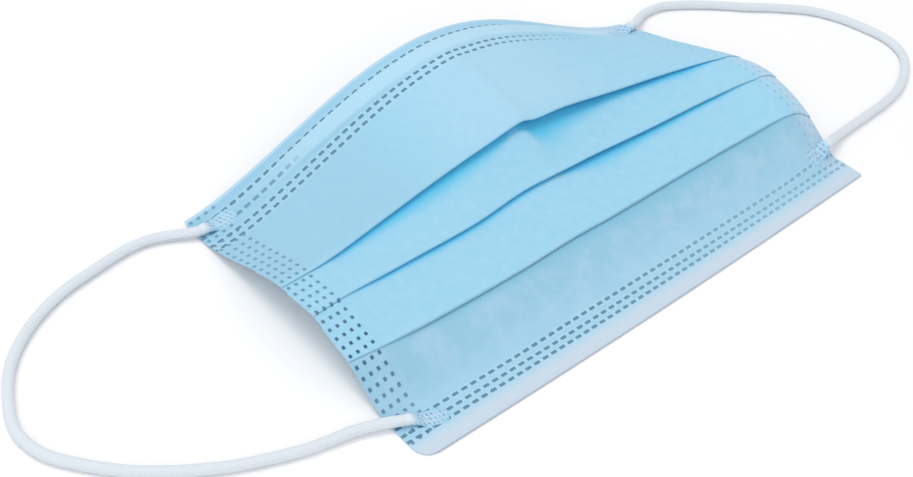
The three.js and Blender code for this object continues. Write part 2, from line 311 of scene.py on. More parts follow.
class NodeSheet:
    """The node tree of one material, and the few ways that nodes are added to it."""

    def __init__(self, name: str) -> None:
        """Makes an empty material with its Principled shader and output."""
        self.material = bpy.data.materials.new(name)
        self.material.use_nodes = True
        self.tree = self.material.node_tree
        self.tree.nodes.clear()
        output = self.tree.nodes.new("ShaderNodeOutputMaterial")
        self.shader = self.tree.nodes.new("ShaderNodeBsdfPrincipled")
        self.tree.links.new(self.shader.outputs["BSDF"], output.inputs["Surface"])

    def put(self, socket: NodeSocket, value: object) -> None:
        """Links a value or socket to an input, or sets a number or a display colour on it."""
        source = value.socket if isinstance(value, Value) else value
        if isinstance(source, NodeSocket):
            self.tree.links.new(source, socket)
        else:
            socket.default_value = colour(*source) if socket.type == "RGBA" else source

    def node(
        self,
        kind: str,
        settings: dict[str, object],
        inputs: dict[object, object],
        result: object = 0,
    ) -> NodeSocket:
        """Adds a node.

        Args:
            kind: The node's type.
            settings: Its own properties, set first.
            inputs: Values or links for its sockets, by name or number.
            result: The name or number of the output that is wanted.

        Returns:
            That output socket.
        """
        made = self.tree.nodes.new(kind)
        for key, setting in settings.items():
            setattr(made, key, setting)
        for key, value in inputs.items():
            self.put(made.inputs[key], value)
        return made.outputs[result]

    def attribute(self, name: str) -> tuple[Value, Value, Value]:
        """Reads a vector attribute of the piece as its three numbers."""
        vector = self.node("ShaderNodeAttribute", {"attribute_name": name}, {}, "Vector")
        parts = self.tree.nodes.new("ShaderNodeSeparateXYZ")
        self.put(parts.inputs[0], vector)
        return tuple(Value(self, parts.outputs[k]) for k in range(3))

    def combine(self, x: object, y: object, z: object = 0.0) -> NodeSocket:
        """Joins three numbers to a vector."""
        return self.node("ShaderNodeCombineXYZ", {}, {0: x, 1: y, 2: z})

    def noise(self, vector: object, grain: Grain) -> Value:
        """Adds noise around 0.5."""
        look = {"Scale": grain.scale, "Detail": grain.detail, "Roughness": grain.rough}
        return Value(self, self.node("ShaderNodeTexNoise", {}, {"Vector": vector, **look}))

    def mix(self, share: object, start: object, end: object) -> NodeSocket:
        """Mixes two colours by a share."""
        made = self.tree.nodes.new("ShaderNodeMix")
        made.data_type = "RGBA"
        made.clamp_factor = True
        colours = [socket for socket in made.inputs if socket.type == "RGBA"]
        self.put(made.inputs[0], share)
        self.put(colours[0], start)
        self.put(colours[1], end)
        return next(socket for socket in made.outputs if socket.type == "RGBA")

    def paint(self, tone: object) -> None:
        """Sets the shader's base colour."""
        self.put(self.shader.inputs["Base Color"], tone)

    def relief(self, height: Value, depth: float) -> None:
        """Bumps the surface by a height between 0 and 1, `depth` millimetres high."""
        inputs = {"Height": height, "Distance": depth * MM, "Strength": 1.0}
        self.put(self.shader.inputs["Normal"], self.node("ShaderNodeBump", {}, inputs))

    def constant(self, **inputs: float) -> None:
        """Sets numbers that are the same all over on the shader, spaces written as underscores."""
        for name, value in inputs.items():
            self.shader.inputs[name.replace("_", " ")].default_value = value


def colour(red: int, green: int, blue: int) -> tuple[float, float, float, float]:
    """Turns a display colour of 0 to 255 into the shader's linear one, along the sRGB curve."""
    shares = np.array((red, green, blue)) / 255.0
    linear = np.where(shares <= 0.04045, shares / 12.92, ((shares + 0.055) / 1.055) ** 2.4)
    return (*map(float, linear), 1.0)


# The cloth as it lies


class Panel(IntEnum):
    """The four panels that show, counted from the nose edge."""

    UPPER = 0
    SECOND = 1
    THIRD = 2
    LOWER = 3


PLEATS = {
    "at": (0.0, 0.08, 0.2, 0.33, 0.44, 0.5, 0.53, 0.6, 0.72, 0.86, 0.94, 1.0),
    "crown": (-0.9, -0.75, -0.2, 0.2, 0.4, 0.5, 0.45, 0.4, 0.15, -0.1, -0.1, -0.1),
    "sag": (1.0, 0.9, 0.55, 0.3, 0.24, 0.24, 0.24, 0.25, 0.35, 0.7, 0.95, 1.0),
    "y1": (0.55, 0.562, 0.584, 0.6, 0.603, 0.6, 0.596, 0.596, 0.585, 0.544, 0.506, 0.484),
    "z1": (0.53, 0.5, 0.58, 0.73, 0.89, 1.0, 0.95, 0.9, 0.78, 0.79, 0.81, 0.7),
    "y2": (0.427, 0.443, 0.45, 0.453, 0.468, 0.461, 0.459, 0.456, 0.44, 0.409, 0.377, 0.36),
    "z2": (0.77, 0.7, 0.65, 0.65, 0.68, 0.74, 0.74, 0.74, 0.78, 0.98, 1.12, 1.0),
    "y3": (0.289, 0.281, 0.278, 0.278, 0.283, 0.28, 0.279, 0.278, 0.273, 0.254, 0.229, 0.215),
    "z3": (0.65, 0.61, 0.56, 0.54, 0.54, 0.56, 0.56, 0.58, 0.67, 0.9, 1.1, 0.73),
    "open1": (0.0, 0.03, 0.1, 0.2, 0.3, 0.42, 0.5, 0.5, 0.3, 0.1, 0.02, 0.0),
    "open2": (0.0, 0.02, 0.06, 0.08, 0.1, 0.14, 0.18, 0.22, 0.15, 0.08, 0.02, 0.0),
    "open3": (0.0, 0.01, 0.02, 0.02, 0.02, 0.02, 0.02, 0.02, 0.02, 0.02, 0.01, 0.0),
    "shade1": (0.0, 0.5, 1.8, 2.9, 1.7, 0.7, 4.6, 3.4, 1.3, 1.6, 0.5, 0.0),
    "shade2": (0.0, 0.4, 1.0, 1.1, 0.8, 0.5, 0.6, 2.4, 1.6, 0.8, 0.2, 0.0),
    "shade3": (0.0, 0.4, 1.2, 2.6, 3.6, 3.9, 3.9, 3.7, 2.8, 1.4, 0.4, 0.0),
}


@dataclass(frozen=True)
class ClothForm:
    """The middle of the cloth as it lies, as heights over the plan.

    The nose edge arches up, the hem lies flat, and each panel comes out from behind the fold
    above it. The pleat columns are shares of the spread width and of each fold's own rise.
    """

    length: float = 174.0
    width: float = 97.0
    nose_rise: float = 23.6
    nose_power: float = 1.62
    left_setback: float = 3.7
    right_setback: float = 6.6
    hem_bow: float = 0.8
    left_lean: float = 3.5
    right_lean: float = 6.5
    fold_rises: Triple = (20.0, 14.6, 11.6)
    opening: float = 5.0
    left_corner: float = 4.5
    right_corner: float = 0.8
    crown: float = 2.4
    crown_skew: float = 1.3
    sag: float = 0.8
    lower_sag: float = 3.5
    pleat_depth: float = 10.0
    layer: float = 0.52
    pressed_layer: float = 0.22
    press_from: float = 24.0
    press_to: float = 8.0
    base: float = 0.35
    corner_base: float = 1.1
    wire_length: float = 104.0
    channel_from: float = 3.9
    channel_to: float = 8.9
    channel_height: float = 0.7
    channel_flank: float = 1.2
    channel_fade: float = 14.0
    curl_from: float = 0.945
    curl_lift: float = 0.8
    curl_drop: float = 0.4
    curl_in: float = 0.2
    curl_full: float = 18.0
    curl_gone: float = 34.0
    end_bow: float = 0.9
    bow_from: float = 0.5
    bow_to: float = 0.6
    shade_least: float = 0.05
    shade_full: float = 0.8
    lip_drop: float = 0.3
    outer_top: float = 0.24
    lip_reach: float = 2.2

    def column(self, name: str, at: Array) -> Array:
        """Reads a pleat column at shares of the length."""
        return smooth_curve(np.array(PLEATS["at"]), np.array(PLEATS[name]), at)

    def corner_y(self) -> float:
        """Returns the y of the hem's two corners."""
        return -self.width / 2 + self.hem_bow

    def hem_y(self, at: Array) -> Array:
        """Returns the hem's outer edge in plan, bowed out by a parabola."""
        return self.corner_y() - self.hem_bow * bulge(at)

    def nose_y(self, at: Array) -> Array:
        """Returns the nose edge in plan, set back at both ends by a parabola."""
        return self.width / 2 - lerp(self.left_setback, self.right_setback, at) * (1 - bulge(at))

    def nose_z(self, at: Array) -> Array:
        """Returns the nose edge's height, an arch along a power of a sine."""
        arch = np.maximum(np.sin(np.pi * at), 0.0) ** self.nose_power
        return self.corner_base + self.nose_rise * arch

    def setback(self, lean: float, radius: float, y: Array) -> Array:
        """Returns how far a side edge is set in, by its lean and by the round corner at the hem.

        The corner is a circle: radius − √(radius² − short²), with `short` the part of the radius
        that is left at this distance from the hem.
        """
        rise = y - self.corner_y()
        short = radius - np.clip(rise, 0.0, radius)
        return lean * rise / self.width + radius - np.sqrt(radius**2 - short**2)

    def left_x(self, y: Array) -> Array:
        """Returns the left edge in plan."""
        return -self.length / 2 + self.setback(self.left_lean, self.left_corner, y)

    def right_x(self, y: Array) -> Array:
        """Returns the right edge in plan."""
        return self.length / 2 - self.setback(self.right_lean, self.right_corner, y)

    def press(self, at: Array) -> Array:
        """Returns how far the layers are welded flat: 1 along both side edges, 0 between them."""
        from_side = np.minimum(at, 1.0 - at) * self.length
        return 1.0 - smoothstep(self.press_to, self.press_from, from_side)

    def curl(self, at: Array, y: Array) -> tuple[Array, Array]:
        """Returns how the right end curls down, as moves along x and z.

        With u the share of the way from where the curl starts to the edge, the cloth first
        bulges up by 4u(1 − u), then drops and draws in by u³. It fades out at both corners.
        """
        u = np.clip((at - self.curl_from) / (1.0 - self.curl_from), 0.0, 1.0)
        reach = 1.0 - smoothstep(self.curl_full, self.curl_gone, np.abs(y))
        lift = self.curl_lift * bulge(u) - self.curl_drop * u**3
        return -self.curl_in * u**3 * reach, lift * reach

    def layer_at(self, at: Array) -> Array:
        """Returns the height of one layer, which the welds press thin at both sides."""
        return lerp(self.layer, self.pressed_layer, self.press(at))

    def thinning(self, at: Array) -> Array:
        """Returns the plies' thickness as a share of the full one."""
        return self.layer_at(at) / self.layer

    def share(self, x: Array, y: Array) -> Array:
        """Returns the share of the length at a place in plan."""
        return np.clip((x - self.left_x(y)) / (self.right_x(y) - self.left_x(y)), 0.0, 1.0)

    def fold_y(self, index: int, at: Array) -> Array:
        """Returns where a fold runs in plan."""
        return self.corner_y() + self.width * self.column(f"y{index + 1}", at)

    def fold_z(self, index: int, at: Array) -> Array:
        """Returns the height that a fold is led to, before its panel dips by the lip."""
        led = self.fold_rises[index] * self.column(f"z{index + 1}", at)
        return led + self.lip_drop * (1.0 - self.press(at))

    def fold_open(self, index: int, at: Array) -> Array:
        """Returns how far a pleat stands open."""
        return self.opening * np.maximum(self.column(f"open{index + 1}", at), 0.0)

    def lip(self, at: Array, fold_y: Array, y: Array) -> Array:
        """Returns how far a panel dips towards its fold, an exponential of the distance to it."""
        drop = self.lip_drop * (1.0 - self.press(at))
        return drop * np.exp(-np.maximum(y - fold_y, 0.0) / self.lip_reach)

    def upper_z(self, at: Array, y: Array) -> Array:
        """Returns the upper panel's height.

        It is the straight line from the nose edge to the first fold, plus a crown, plus the
        nose wire's channel, less the dip at the fold. Towards the sides the crown leans to the
        nose edge, by the square of the way there. The channel rises and falls along two smooth
        steps and fades out past the wire's ends.
        """
        top = self.nose_y(at)
        fold = self.fold_y(0, at)
        t = (top - y) / (top - fold)
        within = np.clip(t, 0.0, 1.0)
        skew = 1.0 + self.crown_skew * (2.0 * at - 1.0) ** 2 * (1.0 - 2.0 * within)
        crown = self.crown * self.column("crown", at) * bulge(within) * skew
        past_wire = np.abs(at - 0.5) * self.length - self.wire_length / 2
        ridge = self.channel_height * (1.0 - smoothstep(0.0, self.channel_fade, past_wire))
        half = self.channel_flank / 2
        depth = top - y
        rise = smoothstep(self.channel_from - half, self.channel_from + half, depth)
        fall = smoothstep(self.channel_to - half, self.channel_to + half, depth)
        straight = lerp(self.nose_z(at), self.fold_z(0, at), t)
        return straight + crown + ridge * (rise - fall) - self.lip(at, fold, y)

    def panel_z(self, panel: Panel, at: Array, y: Array) -> Array:
        """Returns the height of a panel.

        Behind the fold above it, the panel keeps two layers and the pleat's opening below that
        fold's panel. In front it runs on along a smooth step to the next fold or to the hem,
        and along a straight line where the sides are pressed, bowed up at the right end.
        """
        if panel is Panel.UPPER:
            return self.upper_z(at, y)
        above = Panel(panel - 1)
        fold = self.fold_y(above, at)
        drop = 2.0 * self.layer_at(at) + self.fold_open(above, at)
        last = panel is Panel.LOWER
        next_y = self.hem_y(at) if last else self.fold_y(panel, at)
        next_z = self.base if last else self.fold_z(panel, at)
        t = np.clip((fold - y) / (fold - next_y), 0.0, 1.0)
        start = self.panel_z(above, at, fold) - drop
        press = self.press(at)
        bow = self.end_bow * press * smoothstep(self.bow_from, self.bow_to, at)
        sag = self.lower_sag * self.column("sag", at) if last else self.sag * (1.0 - press) - bow
        step = smoothstep(0.0, 1.0, t)
        way = step if last else lerp(step, t, press)
        front = lerp(start, next_z, way) - sag * bulge(t)
        front = np.maximum(front, self.base)
        if not last:
            front = front - self.lip(at, next_y, y)
        behind = self.panel_z(above, at, np.maximum(y, fold)) - drop
        return np.where(y >= fold, behind, front)

    def tuck_z(self, panel: Panel, at: Array, y: Array) -> Array:
        """Returns the height of the hidden layer behind a panel's lower fold."""
        fold = self.fold_y(panel, at)
        spread = self.fold_open(panel, at) * (y - fold) / self.pleat_depth
        return self.panel_z(panel, at, y) - self.layer_at(at) - spread

    def fold_shade(self, at: Array, y: Array, panel: Panel) -> Array:
        """Returns how deep a place lies in the blue shade under the fold above it, from 0 to 1.

        It is the bell curve exp(−(d/w)²) of the distance d in front of the fold, with the
        pleat's shade column as w, and it fades out where that column nears 0.
        """
        if panel is Panel.UPPER:
            return np.zeros(np.broadcast(at, y).shape)
        above = panel - 1
        width = np.maximum(self.column(f"shade{above + 1}", at), 0.0)
        ahead = np.maximum(self.fold_y(above, at) - y, 0.0)
        bell = np.exp(-((ahead / (width + self.shade_least)) ** 2))
        return bell * smoothstep(0.0, self.shade_full, width)


@dataclass(frozen=True)
class Rows:
    """How many steps the cloth's section takes along each of its stretches."""

    nose_band: int = 30
    upper: int = 42
    turn: int = 6
    tuck: int = 8
    behind: int = 8
    second: int = 28
    third: int = 34
    lower: int = 24
    hem_band: int = 26


@dataclass(frozen=True)
class Cloth:
    """The cloth as a grid: a row for each place down the section, a column along the mask."""

    form: ClothForm
    rows: Rows
    at: Array
    nose_gap: float = 0.0
    hem_gap: float = 0.0
    nose_band: float = 15.0
    hem_band: float = 13.0
    shade_from: float = 0.3

    @staticmethod
    def flat_run(height: Callable[[Array], Array], start: Array, end: Array, steps: int) -> Array:
        """Follows a height over the plan from one line to another, without its first row.

        Args:
            height: Gives the height at a y.
            start: The y to start after, along the mask.
            end: The y to end at.
            steps: The number of rows.

        Returns:
            The rows' y and z, as an array of rows, columns and two.
        """
        share = np.linspace(0.0, 1.0, steps + 1)[1:, None]
        y = lerp(start, end, share)
        return np.stack((y, height(y)), axis=-1)

    def turn_run(self, y: Array, z: Array, side: float) -> Array:
        """Follows half a circle down, with side −1 round a fold and 1 round a tuck's end."""
        radius = self.form.layer_at(self.at[None, :]) / 2
        angle = np.linspace(0.0, math.pi, self.rows.turn + 1)[1:, None]
        bent_y = y + side * radius * np.sin(angle)
        bent_z = z - radius + radius * np.cos(angle)
        return np.stack((bent_y, bent_z), axis=-1)

    def section(self) -> Array:
        """Follows the cloth from the nose edge to the hem, through the three pleats."""
        form, at = self.form, self.at[None, :]
        radius = form.layer_at(at) / 2
        start = form.nose_y(at) - self.nose_gap
        upper = partial(form.upper_z, at)
        band_end = form.nose_y(at) - self.nose_band
        parts = [np.stack((start, upper(start)), axis=-1)]
        parts.append(self.flat_run(upper, start, band_end, self.rows.nose_band))
        parts.append(self.flat_run(upper, band_end, form.fold_y(0, at) + radius, self.rows.upper))
        steps = (self.rows.second, self.rows.third, self.rows.lower)
        for above, panel, count in zip(list(Panel)[:-1], list(Panel)[1:], steps):
            fold = form.fold_y(above, at)
            edge = fold + radius
            hidden = fold + form.pleat_depth - radius
            tuck = partial(form.tuck_z, above, at)
            shown = partial(form.panel_z, panel, at)
            parts.append(self.turn_run(edge, form.panel_z(above, at, edge), -1.0))
            parts.append(self.flat_run(tuck, edge, hidden, self.rows.tuck))
            parts.append(self.turn_run(hidden, tuck(hidden), 1.0))
            parts.append(self.flat_run(shown, hidden, fold, self.rows.behind))
            if panel is Panel.LOWER:
                band = form.hem_y(at) + self.hem_band
                parts.append(self.flat_run(shown, fold, band, count))
                end = form.hem_y(at) + self.hem_gap
                parts.append(self.flat_run(shown, band, end, self.rows.hem_band))
            else:
                end = form.fold_y(panel, at) + radius
                parts.append(self.flat_run(shown, fold, end, count))
        return np.concatenate(parts, axis=0)

    def middle(self) -> Array:
        """Places the section across the mask, as points on the middle of the cloth."""
        y, z = np.moveaxis(self.section(), -1, 0)
        at = self.at[None, :]
        x = lerp(self.form.left_x(y), self.form.right_x(y), at)
        inward, lift = self.form.curl(at, y)
        return np.stack((x + inward, y, z + lift), axis=-1)

    @staticmethod
    def normals(points: Array) -> Array:
        """Returns the outer face's normals: the step down the section × the step along the mask."""
        return unit(np.cross(np.gradient(points, axis=0), np.gradient(points, axis=1)))

    def places(self, points: Array) -> dict[str, Array]:
        """Measures where each point of the cloth is, for the welds and the weave.

        Returns:
            `marks` holds the run along the row and the plan distances from the nose edge and
            from the hem. `sides` holds the plan distances from the left and the right edge and
            the length down the section. `folds` holds the shade under the fold above, which
            comes in over the fold's turn, the share of the length, and 1 on the lowest panel.
        """
        y = points[..., 1]
        at = np.broadcast_to(self.at[None, :], y.shape)
        x = lerp(self.form.left_x(y), self.form.right_x(y), at)
        run, depth = walked(points, axis=1), walked(points, axis=0)
        marks = np.stack((run, self.form.nose_y(at) - y, y - self.form.hem_y(at)), axis=-1)
        sides = np.stack((x - self.form.left_x(y), self.form.right_x(y) - x, depth), axis=-1)
        rows = self.rows
        hidden = 2 * rows.turn + rows.tuck + rows.behind
        shown = (rows.second, rows.third, rows.lower + rows.hem_band)
        counts = (rows.nose_band + rows.upper + 1, *(hidden + count for count in shown))
        ends = np.cumsum(counts)
        coming = smoothstep(self.shade_from, 1.0, np.linspace(0.0, 1.0, rows.turn))[:, None]
        shade = np.zeros(x.shape)
        for panel, start, end in zip(Panel, ends - counts, ends):
            shade[start:end] = self.form.fold_shade(at[start:end], y[start:end], panel)
            if panel is not Panel.UPPER:
                shade[start : start + rows.turn] *= coming
        lowest = np.zeros(x.shape)
        lowest[ends[Panel.THIRD] :] = 1.0
        folds = np.stack((shade, at, lowest), axis=-1)
        return {"marks": marks, "sides": sides, "folds": folds}


# Weld marks


@dataclass(frozen=True)
class DashRow:
    """A row of pressed dashes, by its distance from an edge, its shift and its strength."""

    offset: float
    phase: float
    strength: float = 1.0


@dataclass(frozen=True)
class Welds:
    """Where the plies are pressed together: dashes along both edges, square dots at the sides."""

    pitch: float = 2.96
    dash_length: float = 1.8
    dash_width: float = 0.8
    softness: float = 0.3
    nose_rows: tuple[DashRow, ...] = (DashRow(3.3, 0.0), DashRow(9.7, 1.2), DashRow(11.75, 1.9))
    hem_rows: tuple[DashRow, ...] = (DashRow(10.5, 0.4), DashRow(8.05, 1.4), DashRow(6.05, 0.9))
    corner_row: tuple[DashRow, ...] = (DashRow(6.4, 0.8, 0.75),)
    dot_pitch: float = 2.6
    column_pitch: float = 2.45
    dot_size: float = 0.85
    dot_columns: int = 4
    dot_margin: float = 1.1
    cut: float = 0.01

    def mark(self, distance: Value, size: float) -> Value:
        """Masks a mark of a size by the distance to its middle, with a soft edge."""
        return distance.ramp((size + self.softness) / 2, (size - self.softness) / 2)

    def dashes(self, run: Value, depth: Value, rows: Sequence[DashRow], grow: float = 0.0) -> Value:
        """Masks rows of dashes, each grown by a margin all round.

        A dash is a smooth step in the distance to its row times one in the distance along the
        row to the middle of its pitch.
        """
        masks = [
            self.mark(abs(depth - row.offset), self.dash_width + 2 * grow)
            * self.mark((run + row.phase).off_middle(self.pitch), self.dash_length + 2 * grow)
            * row.strength
            for row in rows
        ]
        return reduce(Value.top, masks)

    def dots(self, side: Value, depth: Value) -> Value:
        """Masks the square dots of one side, in columns along its edge."""
        first = self.dot_margin - self.column_pitch / 2
        last = first + self.dot_columns * self.column_pitch
        column = self.mark((side - first).off_middle(self.column_pitch), self.dot_size)
        row = self.mark(depth.off_middle(self.dot_pitch), self.dot_size)
        zone = side.ramp(last + self.cut, last) * side.ramp(first, first + self.cut)
        return column * row * zone


# Finishes


@dataclass(frozen=True)
class Spunbond:
    """What both plies share: matte fibres that run mostly along the mask."""

    fibre_grain: Grain = Grain(1.6, 2.0, 0.7)
    along_scale: float = 0.6
    down_scale: float = 2.2

    def fibres(self, sheet: NodeSheet, run: Value, depth: Value) -> Value:
        """Adds the noise of the fibres."""
        place = sheet.combine(run * self.along_scale, depth * self.down_scale)
        return sheet.noise(place, self.fibre_grain)

    @staticmethod
    def matte(sheet: NodeSheet) -> None:
        """Sets the soft matte sheen of nonwoven cloth."""
        sheet.constant(Roughness=0.85, Sheen_Weight=0.15, Sheen_Roughness=0.5)


@dataclass(frozen=True)
class OuterCloth(Spunbond):
    """The blue outer ply, which fades to white along the hem.

    The fades run over millimetres from the nose edge, the hem or a side, or over the share of
    the length. A share says how much of a colour is mixed in.
    """

    name: str = "outer_cloth"
    welds: Welds = Welds()
    blue: Rgb = (164, 213, 236)
    deep_blue: Rgb = (148, 206, 234)
    # Painted shadow colours under the folds: a deep saturated blue, and a greyer blue under the
    # lowest fold.
    fold_shadow_blue: Rgb = (57, 192, 234)
    low_fold_shadow: Rgb = (130, 190, 216)
    # Painted shade of the lowest panel.
    lower_panel_shade: Rgb = (145, 195, 219)
    cloud: Rgb = (172, 207, 231)
    hem_blue: Rgb = (164, 209, 233)
    grey_blue: Rgb = (150, 196, 220)
    light_blue: Rgb = (180, 216, 237)
    rim_blue: Rgb = (148, 199, 228)
    # Painted highlight colour for the raised wire channel.
    ridge_highlight: Rgb = (186, 223, 243)
    pale: Rgb = (194, 215, 238)
    white: Rgb = (192, 218, 234)
    weld: Rgb = (72, 124, 158)
    dark_weld: Rgb = (30, 84, 116)
    halo: Rgb = (190, 231, 248)
    wave_grain: Grain = Grain(0.11)
    mottle_grain: Grain = Grain(0.35, 3.0, 0.6)
    mottle_gain: float = 1.6
    mottle_floor: float = 0.3
    cloud_waves: float = 0.6
    upper_part: Fade = Fade(41.0, 35.0)
    grey_left: Fade = Fade(0.42, 0.2, 0.6)
    light_left: Fade = Fade(0.28, 0.5)
    light_right: Fade = Fade(0.8, 0.6, 0.45)
    lower_shade_share: float = 0.85
    cloud_part: Fade = Fade(0.42, 0.62, 0.55)
    hem_part: Fade = Fade(21.0, 10.0, 0.7)
    rim_part: Fade = Fade(4.6, 2.2, 0.5)
    ridge_top: Fade = Fade(3.6, 4.6)
    ridge_bottom: Fade = Fade(9.2, 8.0)
    ridge_left: Fade = Fade(12.0, 40.0, 0.55)
    far_side: Fade = Fade(42.0, 16.0)
    far_edge: Fade = Fade(11.0, 5.0)
    end_side: Fade = Fade(10.0, 4.0)
    end_low: Fade = Fade(34.0, 50.0)
    pale_share: float = 0.6
    hem_white: Fade = Fade(6.6, 3.6)
    fold_shadow_strength: float = 0.9
    halo_share: float = 0.5
    weld_share: float = 0.9
    halo_width: float = 0.3
    nose_least: float = 0.1
    nose_fade: Fade = Fade(18.0, 75.0, 0.9)
    hem_least: float = 0.55
    hem_fade: Fade = Fade(15.0, 120.0, 0.45)
    rows_spread: Fade = Fade(80.0, 20.0, 0.16)
    corner_fade: Fade = Fade(36.0, 24.0)
    right_dots: float = 0.25
    dark_at: float = 62.0
    dark_reach: float = 16.0
    dot_least: float = 0.6
    dot_low: Fade = Fade(28.0, 44.0, 0.2)
    dot_dark: float = 0.2
    fibre_height: float = 0.25
    mottle_height: float = 0.25
    wave_height: float = 1.6
    weld_height: float = 0.8
    relief_depth: float = 0.25

    def make(self) -> Material:
        """Builds the material: the tones of the cloth, with painted shade on the lowest panel and a
        painted highlight along the wire channel, then the painted shadow under the folds, then the
        welds.
        """
        sheet = NodeSheet(self.name)
        run, from_nose, from_hem = sheet.attribute("marks")
        left, right, depth = sheet.attribute("sides")
        fold_shadow_share, at, lowest = sheet.attribute("folds")
        flat = sheet.combine(run, depth)
        waves = sheet.noise(flat, self.wave_grain)
        mottle = sheet.noise(flat, self.mottle_grain)
        clouds = waves * self.cloud_waves + mottle * (1.0 - self.cloud_waves)
        upper = self.upper_part.of(from_nose)
        ridge = self.ridge_top.of(from_nose) * self.ridge_bottom.of(from_nose)
        far = self.far_side.of(right) * self.far_edge.of(from_nose)
        far = far.top(self.end_side.of(right) * self.end_low.of(from_nose))
        tones = (
            (upper * self.grey_left.of(at), self.grey_blue),
            (upper * self.light_left.of(at) * self.light_right.of(at), self.light_blue),
            # Painted shade: the lowest panel greyer, eased back towards the plain blue near the
            # hem; the clouds on it are random tone.
            (lowest * self.lower_shade_share, self.lower_panel_shade),
            (lowest * self.cloud_part.of(clouds), self.cloud),
            (lowest * self.hem_part.of(from_hem), self.hem_blue),
            (self.rim_part.of(from_nose), self.rim_blue),
            # Painted highlight along the wire channel's band, fading in from the left end.
            (ridge * self.ridge_left.of(left), self.ridge_highlight),
            (far * self.pale_share, self.pale),
            (self.hem_white.of(from_hem), self.white),
        )
        shade = (mottle * self.mottle_gain - self.mottle_floor).low(1.0).top(0.0)
        base = sheet.mix(shade, self.blue, self.deep_blue)
        for share, tone in tones:
            base = sheet.mix(share, base, tone)
        # Painted shadow under each fold, deepest right at the fold edge and fading out in front of
        # it.
        fold_shadow_tint = sheet.mix(lowest, self.fold_shadow_blue, self.low_fold_shadow)
        base = sheet.mix(fold_shadow_share * self.fold_shadow_strength, base, fold_shadow_tint)

        nose_fade = self.nose_least + self.nose_fade.of(right)
        hem_fade = self.hem_least + self.hem_fade.of(right)
        nose_rows = from_nose / (1.0 + self.rows_spread.of(left))
        welds = self.welds
        marks, halo = (
            (welds.dashes(run, nose_rows, welds.nose_rows, grow) * nose_fade).top(
                welds.dashes(run, from_hem, welds.hem_rows, grow) * hem_fade
            )
            for grow in (0.0, self.halo_width)
        )
        corner = welds.dashes(run, nose_rows, welds.corner_row) * self.corner_fade.of(left)
        marks = marks.top(corner)
        dots = welds.dots(left, from_nose).top(welds.dots(right, from_nose) * self.right_dots)
        dark = 1.0 - (abs(from_nose - self.dark_at) / self.dark_reach).low(1.0)
        dot_share = dots * (self.dot_least + self.dot_low.of(from_nose) + self.dot_dark * dark)
        pressed = sheet.mix(dark, self.weld, self.dark_weld)
        base = sheet.mix(halo * self.halo_share, base, self.halo)
        base = sheet.mix(marks * self.weld_share, base, self.weld)
        base = sheet.mix(dot_share, base, pressed)
        sheet.paint(base)

        cloth = self.fibres(sheet, run, depth) * self.fibre_height
        cloth = cloth + mottle * self.mottle_height + waves * self.wave_height
        sheet.relief(cloth - marks.top(dots) * self.weld_height, self.relief_depth)
        self.matte(sheet)
        return sheet.material


@dataclass(frozen=True)
class InnerCloth(Spunbond):
    """The white inner ply, which starts bluish where the outer ply ends above the hem."""

    name: str = "inner_cloth"
    white: Rgb = (202, 217, 231)
    shade: Rgb = (196, 212, 228)
    blue: Rgb = (182, 215, 235)
    edge: Rgb = (176, 188, 202)
    mottle_grain: Grain = Grain(0.4, 3.0, 0.6)
    blue_part: Fade = Fade(2.4, 5.4)
    edge_part: Fade = Fade(0.45, 0.1)
    height: float = 0.3
    relief_depth: float = 0.2

    def make(self) -> Material:
        """Builds the material."""
        sheet = NodeSheet(self.name)
        run, _, from_hem = sheet.attribute("marks")
        _, _, depth = sheet.attribute("sides")
        mottle = sheet.noise(sheet.combine(run, depth), self.mottle_grain)
        base = sheet.mix(mottle, self.white, self.shade)
        base = sheet.mix(self.blue_part.of(from_hem), base, self.blue)
        base = sheet.mix(self.edge_part.of(from_hem), base, self.edge)
        sheet.paint(base)
        fibres = self.fibres(sheet, run, depth)
        sheet.relief(fibres * self.height + mottle * self.height, self.relief_depth)
        self.matte(sheet)
        return sheet.material


@dataclass(frozen=True)
class Elastic:
    """The soft white knitted elastic of the ear loops."""

    name: str = "elastic"
    white: Rgb = (236, 241, 246)
    shade: Rgb = (205, 216, 228)
    stitch: float = 0.55
    slant: float = 0.5
    fuzz_grain: Grain = Grain(2.2, 3.0, 0.6)
    knit_height: float = 0.7
    fuzz_height: float = 0.5
    relief_depth: float = 0.12

    def make(self) -> Material:
        """Builds the material: rows of small stitches round the cord, in relief."""
        sheet = NodeSheet(self.name)
        along, around, _ = sheet.attribute("thread")
        row = ((along + around * self.slant) / self.stitch).off_middle(1.0)
        rib = (around / self.stitch).off_middle(1.0)
        fuzz = sheet.noise(sheet.combine(along, around), self.fuzz_grain)
        base = sheet.mix(fuzz, self.white, self.shade)
        sheet.paint(base)
        sheet.relief((row + rib) * self.knit_height + fuzz * self.fuzz_height, self.relief_depth)
        sheet.constant(Roughness=0.8, Sheen_Weight=0.2, Sheen_Roughness=0.4)
        return sheet.material


